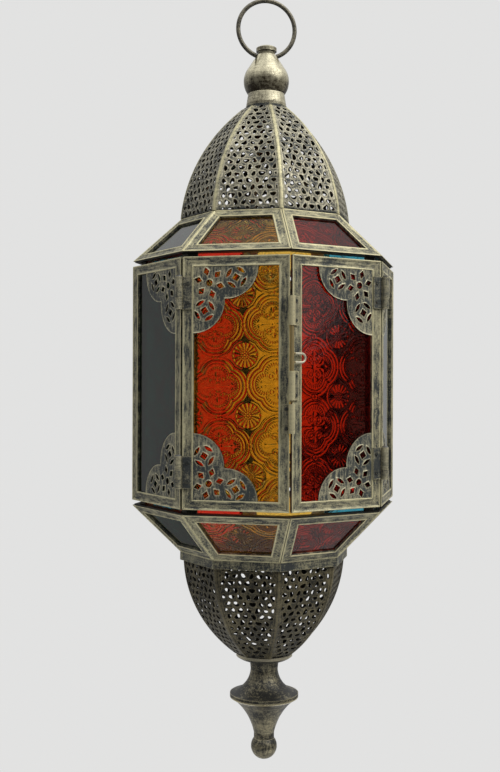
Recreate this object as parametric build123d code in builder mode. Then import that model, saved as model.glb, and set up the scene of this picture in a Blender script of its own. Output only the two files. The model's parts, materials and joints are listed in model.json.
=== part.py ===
from build123d import *
from math import atan, ceil, cos, degrees, hypot, radians, sin, sqrt, tan
import os

# Hanging octagonal candle lantern, in millimetres, +Z up. The origin is the inside top of the
# hanging ring, where a hook bears. The two doors meet at the corner that points to -Y.

# Hanging ring
ring_wire_d = 2.9
ring_mean_d = 38.0

# Top finial, heights above its foot
finial_foot_r = 13.2
finial_foot_h = 1.6
finial_waist_r = 12.1
finial_waist_h = 8.4
finial_bulb_r = 15.0
finial_bulb_h = 17.9
finial_shoulder_r = 12.1
finial_shoulder_h = 25.6
finial_hole_h = 33.4
finial_hole_d = 4.9
finial_hole_at_r = 6.9
finial_neck_r = 5.4
finial_neck_h = 35.9
finial_cap_r = 6.8
finial_cap_h = 2.3
finial_cap_rise = 2.1
finial_cap_lift = 3.4

# Studs and nuts that clamp the finials
stud_d = 5.0
stud_engage = 14.0
stud_spare = 2.0
stud_clear = 0.05
nut_width = 8.0
nut_h = 4.0
washer_d = 11.0
washer_t = 1.0
crown_r = 13.6
crown_t = 2.0

# Heights of the tiers
dome_h = 73.7
roof_h = 28.7
tier_gap = 3.3
body_h = 151.8
base_h = 31.2
band_h = 5.2
lower_dome_h = 68.0

# Corner radii of the octagonal tiers
eave_r = 88.0
waist_r = 56.3
dome_base_r = 55.9
dome_top_r = 14.6
lower_dome_tip_r = 18.0
dome_arc_r = 109.0
lower_dome_arc_r = 84.0

# Dome sheet, ribs and piercing
gore_t = 1.0
rib_w = 3.2
rib_proud = 0.9
rib_depth = 2.6
pierce_l = 4.4
pierce_w = 2.6
pierce_pitch = 7.2
pierce_row = 6.4
pierce_edge = 3.4

# Channel frames and panes
stile_w = 7.6
rail_w = 6.2
slope_strip_w = 6.6
lip_t = 1.6
back_lip_t = 1.0
glass_t = 2.2
glass_gap = 0.1
slot_inset = 3.0
slot_wall = 1.0
mitre_gap = 0.3
door_hinge_gap = 0.8
door_meeting_gap = 1.6

# Corner frets
fret_t = 0.7
fret_set = 0.4
fret_lobe_r = 19.2
fret_lobe_at = 20.5
fret_eye_at = 9.8
fret_eye_r = 2.0
fret_ring_r = 7.0
fret_petal_l = 4.6
fret_petal_w = 3.2
fret_flower_far = 26.3
fret_flower_near = 6.6
fret_flower_turn = 32.0
fret_square = 3.4
fret_slit_r = 5.2
fret_slit_l = 5.2
fret_slit_w = 1.8

# Corner posts behind the frames
post_arm = 6.5
post_t = 1.5
post_gap = 0.3

# Door hinges
hinge_h = 19.5
hinge_leaf_w = 7.0
leaf_t = 0.9
barrel_r = 2.1
knuckle_gap = 0.35
axial_gap = 0.3
pin_r = 1.0
pin_clear = 0.05
pin_head_r = 1.7
pin_head_h = 0.8
left_hinge_heights = (54.0, -53.3)
right_hinge_heights = (56.2, -48.8)

# Rivets on the hinge and bolt leaves
rivet_r = 0.7
rivet_clear = 0.05
rivet_head_r = 1.3
rivet_head_h = 0.7
rivet_bite = 1.0
rivet_pitch = 11.5
rivet_inset = 2.4

# Barrel bolt on the door corner, heights from the middle of the body
bolt_barrel_r = 2.0
bolt_leaf_w = 5.0
bolt_barrel_h = 17.2
guide_upper_z = 42.8
guide_lower_z = -1.2
keeper_z = -20.6
rod_r = 1.2
rod_clear = 0.06
keeper_clear = 0.35
rod_tip_chamfer = 0.5
rod_tip_gap = 0.8
bolt_drop = 4.0
handle_stop_gap = 0.4
handle_wire_r = 0.65
handle_spread = 5.2
handle_reach = 9.4

# Band, collar and bottom finial, heights below the collar's foot
band_t = 1.2
band_clear = 0.3
collar_r = 18.6
collar_rim = 1.8
collar_h = 5.0
collar_foot_r = 9.6
collar_curve_r = 14.0
drop_neck_r = 9.0
drop_neck_h = 5.5
drop_disc_r = 22.7
drop_disc_h = 21.5
drop_flare_r = 17.0
drop_taper_r = 40.0
drop_rim = 2.6
drop_under_r = 19.0
drop_under_h = 26.5
drop_waist_r = 6.7
drop_waist_h = 48.0
drop_ball_r = 8.6
drop_ball_h = 57.0

# Candle tray and cup
tray_lift = 1.0
tray_t = 1.5
tray_gap = 0.1
cup_bore_r = 19.8
cup_wall = 0.8
cup_h = 16.0
cup_rivet_r = 1.6
cup_rivet_head_r = 3.2
cup_rivet_head_h = 0.8
cup_sink_angle = 45.0

# Angles of the octagon
corner_step = 360 / 8
half_step = corner_step / 2
half = radians(half_step)
front = -90.0
left_door_at = front - half_step
right_door_at = front + half_step
side_names = ("right_front", "right_rear", "back_right", "back_left", "left_rear", "left_front")
side_colours = ("green", "blue", "amber", "red", "blue", "green")
fixed_at = [right_door_at + corner_step * (k + 1) for k in range(len(side_names))]
panel_at = [left_door_at, right_door_at, *fixed_at]
panel_colours = ("amber", "red", *side_colours)
colours = ("green", "amber", "red", "blue")

# Levels of the tiers, stacked down from the hang point
ring_r = ring_mean_d / 2
ring_sag = ring_r - sqrt(ring_r**2 - finial_hole_at_r**2)
z_ring = ring_wire_d / 2 - ring_r
z_hole = z_ring - ring_r + ring_sag / 2
z_foot = z_hole - finial_hole_h
z_dome_top = z_foot - crown_t
z_roof_top = z_dome_top - dome_h
z_eave = z_roof_top - roof_h
z_body_top = z_eave - tier_gap
z_body_foot = z_body_top - body_h
z_body_mid = (z_body_top + z_body_foot) / 2
z_base_top = z_body_foot - tier_gap
z_base_foot = z_base_top - base_h
z_tip = z_base_foot - lower_dome_h
z_collar_foot = z_tip - collar_h

# Apothems: distances from the axis to the middles of the octagon's sides
eave_a = eave_r * cos(half)
waist_a = waist_r * cos(half)
slot_t = glass_t + 2 * glass_gap
frame_t = lip_t + slot_t + back_lip_t

# Feet and heads of the panels' outer faces: distance from the axis, and height
roof_face = ((eave_a, z_eave), (waist_a, z_roof_top))
side_face = ((eave_a, z_body_foot), (eave_a, z_body_top))
base_face = ((waist_a, z_base_foot), (eave_a, z_base_top))

os.makedirs("parts", exist_ok=True)


def save(part, label):
    """Label a finished piece and write it."""
    part.label = label
    export_step(part, f"parts/{label}.step")


def around(piece, angles):
    """Copies of a piece, turned about the lantern's axis."""
    with BuildPart() as group:
        for angle in angles:
            add(piece, rotation=(0, 0, angle))
    return group.part


def mirrored(piece):
    """The piece's twin across the plane that parts the two doors."""
    with BuildPart() as twin:
        mirror(piece, about=Plane.YZ)
    return twin.part


# Flat panels: each is made facing +X and then turned into its place


def slant(face):
    """Length of a panel's face from its foot to its head."""
    foot, head = face
    return hypot(head[0] - foot[0], head[1] - foot[1])


def panel_plane(face, depth):
    """Plane at a depth behind a panel's outer face, centred on it, Y up the slope."""
    foot, head = face
    middle = ((foot[0] + head[0]) / 2, 0, (foot[1] + head[1]) / 2)
    outward = (head[1] - foot[1], 0, foot[0] - head[0])
    return Plane(origin=middle, x_dir=(0, 1, 0), z_dir=outward).offset(-depth)


def panel_outline(face, side_inset, end_inset):
    """Corners of a panel's outline, drawn in from its sloping sides and its ends."""
    foot, head = face
    length = slant(face)
    narrowing = (foot[0] - head[0]) * tan(half) / length
    inset = side_inset * hypot(1, narrowing)
    reach = length / 2 - end_inset
    mean = (foot[0] + head[0]) / 2 * tan(half) - inset
    low = mean + narrowing * reach
    high = mean - narrowing * reach
    return [(-low, -reach), (low, -reach), (high, reach), (-high, reach)]


def mitre_plane(side, gap):
    """Radial plane through a corner, moved into the panel by a gap, facing out of it."""
    normal = Vector(-sin(half), side * cos(half), 0)
    return Plane(origin=normal * -gap, z_dir=normal)


def slot_end(face):
    """Inset of the slot from a panel's ends, which are cut level and so lean into it."""
    foot, head = face
    return (lip_t + slot_t) * abs(head[0] - foot[0]) / (head[1] - foot[1]) + slot_wall


def panel_frame(face, stile, rail, gaps, rivets):
    """Channel frame with a window, a slot for the pane and blind holes for rivets."""
    foot, head = face
    run = frame_t * slant(face) / (head[1] - foot[1])
    with BuildPart() as frame:
        with BuildSketch(Plane.XZ):
            Polygon(foot, head, (head[0] - run, head[1]), (foot[0] - run, foot[1]), align=None)
        extrude(amount=eave_r, both=True)
        for side, gap in zip((-1, 1), gaps):
            split(bisect_by=mitre_plane(side, gap), keep=Keep.BOTTOM)
        with BuildSketch(panel_plane(face, 0)):
            Polygon(*panel_outline(face, stile, rail), align=None)
        extrude(amount=-frame_t, mode=Mode.SUBTRACT)
        with BuildSketch(panel_plane(face, lip_t)):
            Polygon(*panel_outline(face, slot_inset, slot_end(face)), align=None)
        extrude(amount=-slot_t, mode=Mode.SUBTRACT)
        if rivets:
            with BuildSketch(Plane.YZ.offset(foot[0])):
                with Locations(*rivets):
                    Circle(rivet_r + rivet_clear)
            extrude(amount=-rivet_bite, mode=Mode.SUBTRACT)
    return frame.part


def panel_pane(face):
    """Pane of glass in a frame's slot."""
    outline = panel_outline(face, slot_inset + glass_gap, slot_end(face) + glass_gap)
    with BuildPart() as pane:
        with BuildSketch(panel_plane(face, lip_t + glass_gap)):
            Polygon(*outline, align=None)
        extrude(amount=-glass_t)
    return pane.part


def lozenge(centre, angle, length, width):
    """A diamond that points along an angle."""
    with Locations(Location((*centre, 0), (0, 0, angle))):
        Polygon((length / 2, 0), (0, width / 2), (-length / 2, 0), (0, -width / 2), align=None)


def fret_pair():
    """Two-lobed pierced plates in the upper and lower window corners of a panel's +Y side."""
    span = fret_lobe_at + fret_lobe_r
    notch = (fret_lobe_at + sqrt(2 * fret_lobe_r**2 - fret_lobe_at**2)) / 2
    corner = panel_outline(side_face, stile_w, rail_w)[2]
    plane = panel_plane(side_face, fret_set)
    at_corner = Plane(plane.from_local_coords(corner), x_dir=-plane.x_dir, z_dir=-plane.z_dir)
    with BuildPart() as pair:
        with BuildSketch(at_corner):
            with Locations((fret_lobe_at, 0), (0, -fret_lobe_at)):
                Circle(fret_lobe_r)
            with Locations((notch / 2, -notch / 2)):
                Rectangle(notch, notch)
            with Locations((span / 2, -span / 2)):
                Rectangle(span, span, mode=Mode.INTERSECT)
        extrude(amount=fret_t)
        with BuildSketch(at_corner):
            with Locations((fret_eye_at, -fret_eye_at)):
                Circle(fret_eye_r)
            for k in range(6):
                turn = 60 * k - 15
                centre = (
                    fret_eye_at + fret_ring_r * cos(radians(turn)),
                    -fret_eye_at + fret_ring_r * sin(radians(turn)),
                )
                lozenge(centre, turn, fret_petal_l, fret_petal_w)
            flowers = (
                (fret_flower_far, -fret_flower_near, -fret_flower_turn),
                (fret_flower_near, -fret_flower_far, fret_flower_turn),
            )
            for x, y, turn in flowers:
                with Locations(Location((x, y, 0), (0, 0, turn))):
                    Rectangle(fret_square, fret_square)
                for quarter in range(4):
                    heading = turn + 90 * quarter
                    centre = (
                        x + fret_slit_r * cos(radians(heading)),
                        y + fret_slit_r * sin(radians(heading)),
                    )
                    lozenge(centre, heading + 90, fret_slit_l, fret_slit_w)
        extrude(amount=fret_t, mode=Mode.SUBTRACT)
        mirror(about=Plane.XY.offset(z_body_mid))
    return pair.part


# Hinge and bolt leaves: a plate on a panel's face with barrels outside its corner


corner_y = eave_a * tan(half)


def barrel_radius_at(radius):
    """Distance from the lantern's axis to a barrel's axis outside a corner."""
    return eave_r + radius + knuckle_gap


def leaf_rivets(side, heights, leaf_w):
    """Places of the rivets on a panel's face, across and up."""
    across = side * (corner_y - leaf_w + rivet_inset)
    ups = [z_body_mid + height + end * rivet_pitch / 2 for height in heights for end in (-1, 1)]
    return [(across, up) for up in ups]


def barrel_leaf(side, heights, leaf_w, leaf_h, radius, bore_r, own, clear):
    """Leaves at some heights; own and clear are the barrels' zones, as (offset, length)."""
    axis_r = barrel_radius_at(radius)
    axis_y = side * axis_r * sin(half)
    near_y = side * (corner_y - leaf_w)
    with BuildPart() as leaf:
        for height in heights:
            z = z_body_mid + height
            with Locations((eave_a + leaf_t / 2, (axis_y + near_y) / 2, z)):
                Box(leaf_t, abs(axis_y - near_y), leaf_h)
            for offset, length in clear:
                with Locations((axis_r * cos(half), axis_y, z + offset)):
                    Cylinder(radius + knuckle_gap, length, mode=Mode.SUBTRACT)
            for offset, length in own:
                with Locations((axis_r * cos(half), axis_y, z + offset)):
                    Cylinder(radius, length)
            with Locations((axis_r * cos(half), axis_y, z)):
                Cylinder(bore_r, leaf_h, mode=Mode.SUBTRACT)
        with BuildSketch(Plane.YZ.offset(eave_a)):
            with Locations(*leaf_rivets(side, heights, leaf_w)):
                Circle(rivet_r + rivet_clear)
        extrude(amount=leaf_t, mode=Mode.SUBTRACT)
    return leaf.part


knuckle_h = (hinge_h - 2 * axial_gap) / 3
knuckle_step = knuckle_h + axial_gap
outer_knuckles = [(-knuckle_step, knuckle_h), (knuckle_step, knuckle_h)]
outer_room = [(offset, knuckle_h + 2 * axial_gap) for offset, _ in outer_knuckles]
middle_knuckle = [(0, knuckle_h)]
middle_room = [(0, knuckle_h + 2 * axial_gap)]


def hinge_leaves(side, heights, own, clear):
    """The leaves of one door's hinges that belong to one panel."""
    bore = pin_r + pin_clear
    return barrel_leaf(side, heights, hinge_leaf_w, hinge_h, barrel_r, bore, own, clear)


def bolt_leaves(side, heights, clearance):
    """Guide or keeper barrels of the bolt."""
    whole = [(0, bolt_barrel_h)]
    bore = rod_r + clearance
    return barrel_leaf(side, heights, bolt_leaf_w, bolt_barrel_h, bolt_barrel_r, bore, whole, [])


def hinge_pins(heights):
    """Headed pins at the right door's hinge corner."""
    axis_r = barrel_radius_at(barrel_r)
    corner = radians(right_door_at) + half
    with BuildPart() as pins:
        for height in heights:
            z = z_body_mid + height
            with Locations((axis_r * cos(corner), axis_r * sin(corner), z)):
                Cylinder(pin_r, hinge_h)
            with Locations((axis_r * cos(corner), axis_r * sin(corner), z + hinge_h / 2)):
                Cylinder(pin_head_r, pin_head_h, align=(Align.CENTER, Align.CENTER, Align.MIN))
    return pins.part


def rivets(places):
    """Rivets with shanks through a leaf and into the frame, and tapered heads."""
    with BuildPart() as group:
        with BuildSketch(Plane.YZ.offset(eave_a - rivet_bite)):
            with Locations(*places):
                Circle(rivet_r)
        extrude(amount=rivet_bite + leaf_t)
        with BuildSketch(Plane.YZ.offset(eave_a + leaf_t)):
            with Locations(*places):
                Circle(rivet_head_r)
        extrude(amount=rivet_head_h, taper=25)
    return group.part


# Domes: eight cylindrical gores between eight meridian ribs


def arc_centre(low, high, radius):
    """Centre of the circle of a radius through two points, on the axis side of them."""
    chord = hypot(high[0] - low[0], high[1] - low[1])
    away = sqrt(radius**2 - chord**2 / 4)
    across = (high[1] - low[1]) / chord
    along = (high[0] - low[0]) / chord
    return ((low[0] + high[0]) / 2 - away * across, (low[1] + high[1]) / 2 + away * along)


def circle_through(p, q, r):
    """Centre and radius of the circle through three points."""
    ax, ay = q[0] - p[0], q[1] - p[1]
    bx, by = r[0] - p[0], r[1] - p[1]
    cross = 2 * (ax * by - ay * bx)
    ux = (by * (ax**2 + ay**2) - ay * (bx**2 + by**2)) / cross
    uy = (ax * (bx**2 + by**2) - bx * (ax**2 + ay**2)) / cross
    return (p[0] + ux, p[1] + uy), hypot(ux, uy)


def arc_band(centre, outer, inner, low_z, high_z):
    """Draw the section of a curved sheet between two levels, right of the axis."""
    with Locations(centre):
        Circle(outer)
        Circle(inner, mode=Mode.SUBTRACT)
    with Locations((eave_r / 2, (low_z + high_z) / 2)):
        Rectangle(eave_r, high_z - low_z, mode=Mode.INTERSECT)


def dome_gore(low, high, radius):
    """One gore: a curved sheet trimmed to its ribs and pierced in staggered rows."""
    centre = arc_centre(low, high, radius)
    with BuildPart() as gore:
        with BuildSketch(Plane.XZ):
            arc_band(centre, radius, radius - gore_t, low[1], high[1])
        extrude(amount=eave_r, both=True)
        for side in (-1, 1):
            split(bisect_by=mitre_plane(side, rib_w / 2), keep=Keep.BOTTOM)
        start = atan((low[1] - centre[1]) / (low[0] - centre[0]))
        stop = atan((high[1] - centre[1]) / (high[0] - centre[0]))
        rows = int((stop - start) * radius / pierce_row)
        for row in range(rows):
            angle = start + (stop - start) * (row + 0.5) / rows
            x = centre[0] + radius * cos(angle)
            z = centre[1] + radius * sin(angle)
            room = x * tan(half) - rib_w / 2 - pierce_edge
            shift = pierce_pitch / 2 * (row % 2)
            count = ceil(room / pierce_pitch)
            places = [k * pierce_pitch + shift for k in range(-count, count + 1)]
            places = [(y, 0) for y in places if abs(y) < room]
            if places:
                across = Plane(origin=(x, 0, z), x_dir=(0, 1, 0), z_dir=(cos(angle), 0, sin(angle)))
                with BuildSketch(across):
                    for place in places:
                        lozenge(place, 90, pierce_l, pierce_w)
                extrude(amount=2 * gore_t, both=True, mode=Mode.SUBTRACT)
    return gore.part


def dome_rib(low, high, radius):
    """One rib at a corner, on the curve that the gores' corners follow."""
    centre = arc_centre(low, high, radius)
    chord_angle = atan((high[1] + low[1] - 2 * centre[1]) / (high[0] + low[0] - 2 * centre[0]))
    middle = (centre[0] + radius * cos(chord_angle), centre[1] + radius * sin(chord_angle))
    at_corner = [(x / cos(half), z) for x, z in (low, middle, high)]
    rib_centre, rib_arc = circle_through(*at_corner)
    with BuildPart() as rib:
        with BuildSketch(Plane.XZ):
            arc_band(rib_centre, rib_arc + rib_proud, rib_arc - rib_depth, low[1], high[1])
        extrude(amount=rib_w / 2, both=True)
    return rib.part


# Hanging ring
with BuildPart() as hanging_ring:
    with Locations(Location((0, 0, z_ring), (90, 0, 0))):
        Torus(ring_r, ring_wire_d / 2)
save(hanging_ring.part, "hanging_ring")

# Top finial with its cross hole and the blind hole for its stud
cap_h = finial_hole_h + finial_cap_lift
rim_h = cap_h + finial_cap_h
top_h = rim_h + finial_cap_rise
cap_ball_r = (finial_cap_r**2 + finial_cap_rise**2) / (2 * finial_cap_rise)
with BuildPart() as top_finial:
    with BuildSketch(Plane.XZ):
        with BuildLine():
            Polyline((0, top_h), (0, 0), (finial_foot_r, 0), (finial_foot_r, finial_foot_h))
            Line((finial_foot_r, finial_foot_h), (finial_waist_r, finial_waist_h))
            ThreePointArc(
                (finial_waist_r, finial_waist_h),
                (finial_bulb_r, finial_bulb_h),
                (finial_shoulder_r, finial_shoulder_h),
            )
            Line((finial_shoulder_r, finial_shoulder_h), (finial_neck_r, finial_neck_h))
            Line((finial_neck_r, finial_neck_h), (finial_neck_r, cap_h))
            Line((finial_neck_r, cap_h), (finial_cap_r, cap_h))
            Line((finial_cap_r, cap_h), (finial_cap_r, rim_h))
            RadiusArc((finial_cap_r, rim_h), (0, top_h), -cap_ball_r)
        make_face()
    revolve(axis=Axis.Z)
    with BuildSketch(Plane.XY):
        Circle(stud_d / 2 + stud_clear)
    extrude(amount=stud_engage, mode=Mode.SUBTRACT)
    with BuildSketch(Plane.YZ):
        with Locations((0, finial_hole_h)):
            Circle(finial_hole_d / 2)
    extrude(amount=finial_bulb_r, both=True, mode=Mode.SUBTRACT)
save(top_finial.part.moved(Location((0, 0, z_foot))), "top_finial")

# Crown plate, stud, washer and nut that clamp the top finial to the dome
z_top_washer = z_dome_top - washer_t
z_top_nut = z_top_washer - nut_h
with BuildPart() as crown_plate:
    with BuildSketch(Plane.XY.offset(z_dome_top)):
        Circle(crown_r)
        Circle(stud_d / 2 + stud_clear, mode=Mode.SUBTRACT)
    extrude(amount=crown_t)
save(crown_plate.part, "crown_plate")

with BuildPart() as top_stud:
    with BuildSketch(Plane.XY.offset(z_top_nut - stud_spare)):
        Circle(stud_d / 2)
    extrude(amount=z_foot + stud_engage - z_top_nut + stud_spare)
save(top_stud.part, "top_stud")

with BuildPart() as top_washer:
    with BuildSketch(Plane.XY.offset(z_top_washer)):
        Circle(washer_d / 2)
        Circle(stud_d / 2 + stud_clear, mode=Mode.SUBTRACT)
    extrude(amount=washer_t)
save(top_washer.part, "top_washer")

with BuildPart() as top_nut:
    with BuildSketch(Plane.XY.offset(z_top_nut)):
        RegularPolygon(nut_width / 2, 6, major_radius=False)
        Circle(stud_d / 2 + stud_clear, mode=Mode.SUBTRACT)
    extrude(amount=nut_h)
save(top_nut.part, "top_nut")

# Upper dome
all_panels = [left_door_at + corner_step * k for k in range(8)]
all_corners = [front + corner_step * k for k in range(8)]
dome_low = (dome_base_r * cos(half), z_roof_top)
dome_high = (dome_top_r * cos(half), z_dome_top)
save(around(dome_gore(dome_low, dome_high, dome_arc_r), all_panels), "upper_dome_gores")
save(around(dome_rib(dome_low, dome_high, dome_arc_r), all_corners), "upper_dome_ribs")

# Roof and base: framed panes on the slopes
fixed_gaps = (mitre_gap / 2, mitre_gap / 2)
for tier, face in (("roof", roof_face), ("base", base_face)):
    frame = panel_frame(face, slope_strip_w, slope_strip_w, fixed_gaps, [])
    save(around(frame, all_panels), f"{tier}_frames")
    pane = panel_pane(face)
    for colour in colours:
        places = [at for at, own in zip(panel_at, panel_colours) if own == colour]
        save(around(pane, places), f"{tier}_panes_{colour}")

# Fixed body panels
side_pane = panel_pane(side_face)
fixed_rivets = {
    "right_front": leaf_rivets(-1, right_hinge_heights, hinge_leaf_w),
    "left_front": leaf_rivets(1, left_hinge_heights, hinge_leaf_w),
}
hinge_side_gaps = {
    "right_front": (door_hinge_gap / 2, mitre_gap / 2),
    "left_front": (mitre_gap / 2, door_hinge_gap / 2),
}
for name, at in zip(side_names, fixed_at):
    gaps = hinge_side_gaps.get(name, fixed_gaps)
    frame = panel_frame(side_face, stile_w, rail_w, gaps, fixed_rivets.get(name, []))
    save(around(frame, [at]), f"side_frame_{name}")
    save(around(side_pane, [at]), f"side_pane_{name}")

# Frets stand at the hinge corners and at the two corners behind them
plus_frets = fret_pair()
with BuildPart() as minus_frets:
    mirror(plus_frets, about=Plane.XZ)
with BuildPart() as side_frets:
    for k, at in enumerate(fixed_at):
        add(minus_frets.part if k % 2 == 0 else plus_frets, rotation=(0, 0, at))
save(side_frets.part, "side_frets")

# Corner posts: angle strips behind the frames, at every corner but the doors'
post_tip = (eave_a - frame_t - post_gap) / cos(half)
post_end = (post_tip - post_arm * sin(half), post_arm * cos(half))
post_back = (post_end[0] - post_t * cos(half), post_end[1] - post_t * sin(half))
with BuildPart() as corner_post:
    with BuildSketch(Plane.XY.offset(z_base_top)):
        Polygon(
            (post_tip, 0),
            post_end,
            post_back,
            (post_tip - post_t / cos(half), 0),
            (post_back[0], -post_back[1]),
            (post_end[0], -post_end[1]),
            align=None,
        )
    extrude(amount=z_eave - z_base_top)
save(around(corner_post.part, all_corners[1:]), "corner_posts")

# Doors: frames, panes and frets
door_gaps = (door_meeting_gap / 2, door_hinge_gap / 2)
right_guides = (guide_upper_z, guide_lower_z)
right_holes = leaf_rivets(1, right_hinge_heights, hinge_leaf_w)
right_holes += leaf_rivets(-1, right_guides, bolt_leaf_w)
left_holes = leaf_rivets(-1, left_hinge_heights, hinge_leaf_w)
left_holes += leaf_rivets(1, (keeper_z,), bolt_leaf_w)
right_frame = panel_frame(side_face, stile_w, rail_w, door_gaps, right_holes)
left_frame = panel_frame(side_face, stile_w, rail_w, door_gaps[::-1], left_holes)
save(around(right_frame, [right_door_at]), "right_door_frame")
save(around(side_pane, [right_door_at]), "right_door_pane")
save(around(plus_frets, [right_door_at]), "right_door_frets")
save(around(rivets(right_holes), [right_door_at]), "right_door_rivets")
save(around(left_frame, [left_door_at]), "left_door_frame")
save(around(side_pane, [left_door_at]), "left_door_pane")
save(around(minus_frets.part, [left_door_at]), "left_door_frets")
save(around(rivets(left_holes), [left_door_at]), "left_door_rivets")

# Hinges: the left door's are made at the right door and mirrored
right_fixed = hinge_leaves(-1, right_hinge_heights, outer_knuckles, middle_room)
left_fixed = hinge_leaves(-1, left_hinge_heights, outer_knuckles, middle_room)
right_moving = hinge_leaves(1, right_hinge_heights, middle_knuckle, outer_room)
left_moving = hinge_leaves(1, left_hinge_heights, middle_knuckle, outer_room)
beside_right_door = [right_door_at + corner_step]
save(around(right_fixed, beside_right_door), "right_hinge_fixed_leaves")
save(mirrored(around(left_fixed, beside_right_door)), "left_hinge_fixed_leaves")
save(around(right_moving, [right_door_at]), "right_hinge_door_leaves")
save(mirrored(around(left_moving, [right_door_at])), "left_hinge_door_leaves")
save(hinge_pins(right_hinge_heights), "right_hinge_pins")
save(mirrored(hinge_pins(left_hinge_heights)), "left_hinge_pins")
with BuildPart() as hinge_rivets:
    add(rivets(fixed_rivets["right_front"]), rotation=(0, 0, fixed_at[0]))
    add(rivets(fixed_rivets["left_front"]), rotation=(0, 0, fixed_at[-1]))
save(hinge_rivets.part, "hinge_rivets")

# Barrel bolt: guides on the right door, keeper on the left door, rod with its handle
save(around(bolt_leaves(-1, right_guides, rod_clear), [right_door_at]), "bolt_guides")
save(around(bolt_leaves(1, (keeper_z,), keeper_clear), [left_door_at]), "bolt_keeper")

bolt_at = barrel_radius_at(bolt_barrel_r)
rod_foot = z_body_mid + keeper_z + bolt_barrel_h / 2 + rod_tip_gap
rod_head = z_body_mid + guide_upper_z + bolt_barrel_h / 2
handle_foot = z_body_mid + guide_lower_z + bolt_barrel_h / 2 + bolt_drop + handle_stop_gap
handle_mid = handle_foot + handle_wire_r + handle_spread / 2
bend = handle_spread / 2
straight = handle_reach - bend
handle_plane = Plane(
    origin=(0, -bolt_at, handle_mid),
    x_dir=(cos(half), sin(half), 0),
    z_dir=(sin(half), -cos(half), 0),
)
with BuildPart() as bolt_rod:
    with BuildLine(handle_plane):
        Line((0, bend), (straight, bend))
        ThreePointArc((straight, bend), (handle_reach, 0), (straight, -bend))
        Line((straight, -bend), (0, -bend))
    start = handle_plane.from_local_coords((0, bend, 0))
    with BuildSketch(Plane(origin=start, z_dir=handle_plane.x_dir)):
        Circle(handle_wire_r)
    sweep()
    with BuildSketch(Plane.XY.offset(rod_foot)):
        with Locations((0, -bolt_at)):
            Circle(rod_r)
    extrude(amount=rod_head - rod_foot)
    chamfer(bolt_rod.faces().sort_by(Axis.Z)[0].edges(), rod_tip_chamfer)
save(bolt_rod.part, "bolt_rod")

# Octagonal band under the base
with BuildPart() as base_band:
    with BuildSketch(Plane.XY.offset(z_base_foot)):
        RegularPolygon(waist_r, 8)
        RegularPolygon(waist_r - band_t / cos(half), 8, mode=Mode.SUBTRACT)
    extrude(amount=-band_h)
save(base_band.part, "base_band")

# Lower dome: the same gores and ribs upside down
band_room_r = waist_r - band_t / cos(half) - rib_w / 2 * tan(half)
lower_dome_base_r = band_room_r - rib_proud - band_clear
lower_low = (lower_dome_tip_r * cos(half), z_tip)
lower_high = (lower_dome_base_r * cos(half), z_base_foot)
save(around(dome_gore(lower_low, lower_high, lower_dome_arc_r), all_panels), "lower_dome_gores")
save(around(dome_rib(lower_low, lower_high, lower_dome_arc_r), all_corners), "lower_dome_ribs")

# Collar dish and turned bottom finial
with BuildPart() as lower_collar:
    with BuildSketch(Plane.XZ):
        with BuildLine():
            Polyline((collar_foot_r, 0), (0, 0), (0, collar_h), (collar_r, collar_h))
            Line((collar_r, collar_h), (collar_r, collar_h - collar_rim))
            RadiusArc((collar_r, collar_h - collar_rim), (collar_foot_r, 0), collar_curve_r)
        make_face()
    revolve(axis=Axis.Z)
    with BuildSketch(Plane.XY):
        Circle(stud_d / 2 + stud_clear)
    extrude(amount=collar_h, mode=Mode.SUBTRACT)
save(lower_collar.part.moved(Location((0, 0, z_collar_foot))), "lower_collar")

ball_top = sqrt(drop_ball_r**2 - drop_waist_r**2) - drop_ball_h
ball_foot = -drop_ball_h - drop_ball_r
with BuildPart() as bottom_finial:
    with BuildSketch(Plane.XZ):
        with BuildLine():
            Polyline((0, ball_foot), (0, 0), (collar_foot_r, 0), (drop_neck_r, -drop_neck_h))
            RadiusArc((drop_neck_r, -drop_neck_h), (drop_disc_r, -drop_disc_h), -drop_flare_r)
            Line((drop_disc_r, -drop_disc_h), (drop_disc_r, -drop_disc_h - drop_rim))
            Line((drop_disc_r, -drop_disc_h - drop_rim), (drop_under_r, -drop_under_h))
            RadiusArc((drop_under_r, -drop_under_h), (drop_waist_r, -drop_waist_h), -drop_taper_r)
            Line((drop_waist_r, -drop_waist_h), (drop_waist_r, ball_top))
            ThreePointArc((drop_waist_r, ball_top), (drop_ball_r, -drop_ball_h), (0, ball_foot))
        make_face()
    revolve(axis=Axis.Z)
    with BuildSketch(Plane.XY):
        Circle(stud_d / 2 + stud_clear)
    extrude(amount=-stud_engage, mode=Mode.SUBTRACT)
save(bottom_finial.part.moved(Location((0, 0, z_collar_foot))), "bottom_finial")

with BuildPart() as bottom_stud:
    with BuildSketch(Plane.XY.offset(z_collar_foot - stud_engage)):
        Circle(stud_d / 2)
    extrude(amount=stud_engage + collar_h + nut_h + stud_spare)
save(bottom_stud.part, "bottom_stud")

with BuildPart() as bottom_nut:
    with BuildSketch(Plane.XY.offset(z_tip)):
        RegularPolygon(nut_width / 2, 6, major_radius=False)
        Circle(stud_d / 2 + stud_clear, mode=Mode.SUBTRACT)
    extrude(amount=nut_h)
save(bottom_nut.part, "bottom_nut")

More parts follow.
